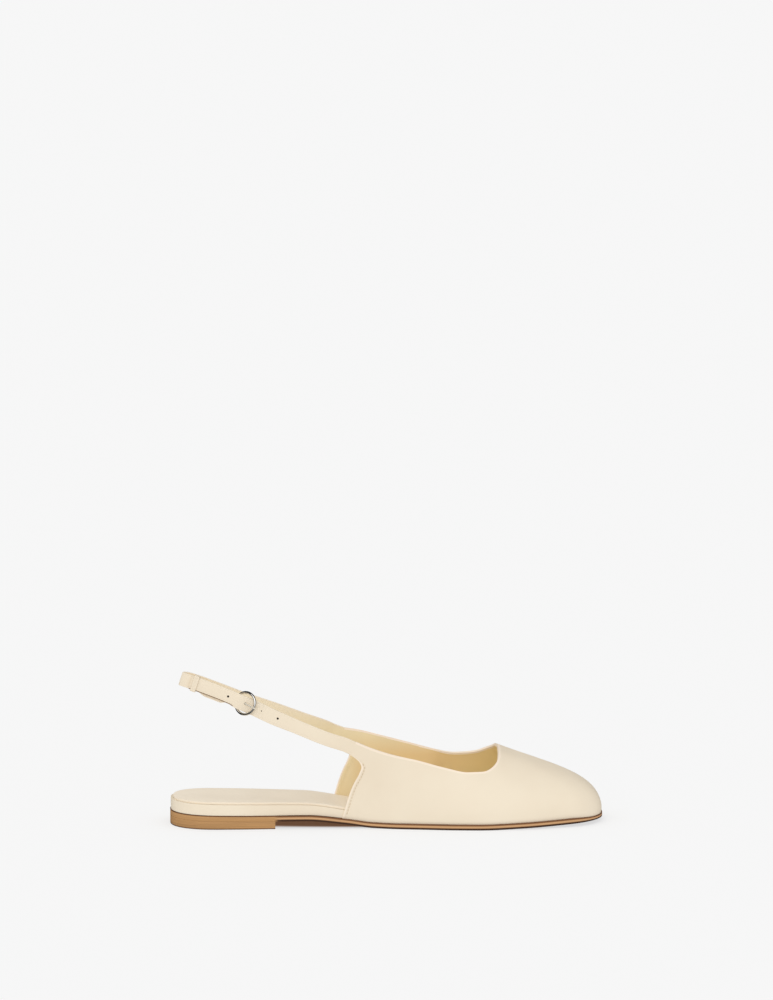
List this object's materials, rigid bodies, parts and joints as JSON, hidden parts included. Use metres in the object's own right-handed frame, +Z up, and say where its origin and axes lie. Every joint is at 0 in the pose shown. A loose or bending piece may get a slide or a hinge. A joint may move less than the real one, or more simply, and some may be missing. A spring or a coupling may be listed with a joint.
{
  "type": "sling back flat",
  "caption": "Women's cream leather sling back flat with a soft square toe, a closed vamp, an open heel and a small round buckle on its strap; right shoe.",
  "frame": {"origin": "on the floor, under the middle of the bounding box", "axes": "+X towards the toe, +Y towards the inner side of the foot, +Z up"},
  "size_m": [0.249, 0.0804, 0.0874],
  "materials": {
    "cream_leather": "smooth, soft sheen",
    "lining_leather": "matt",
    "sole_leather": "waxed edge",
    "buckle_metal": "polished"
  },
  "bodies": {
    "root": {"outsole": "sole_leather", "heel": "sole_leather", "footbed": "cream_leather", "insole": "lining_leather", "upper": "cream_leather", "holed_strap": "cream_leather", "sling_strap": "cream_leather", "buckle_ring": "buckle_metal", "buckle_prong": "buckle_metal", "strap_keeper": "cream_leather"}
  },
  "joints": []
}
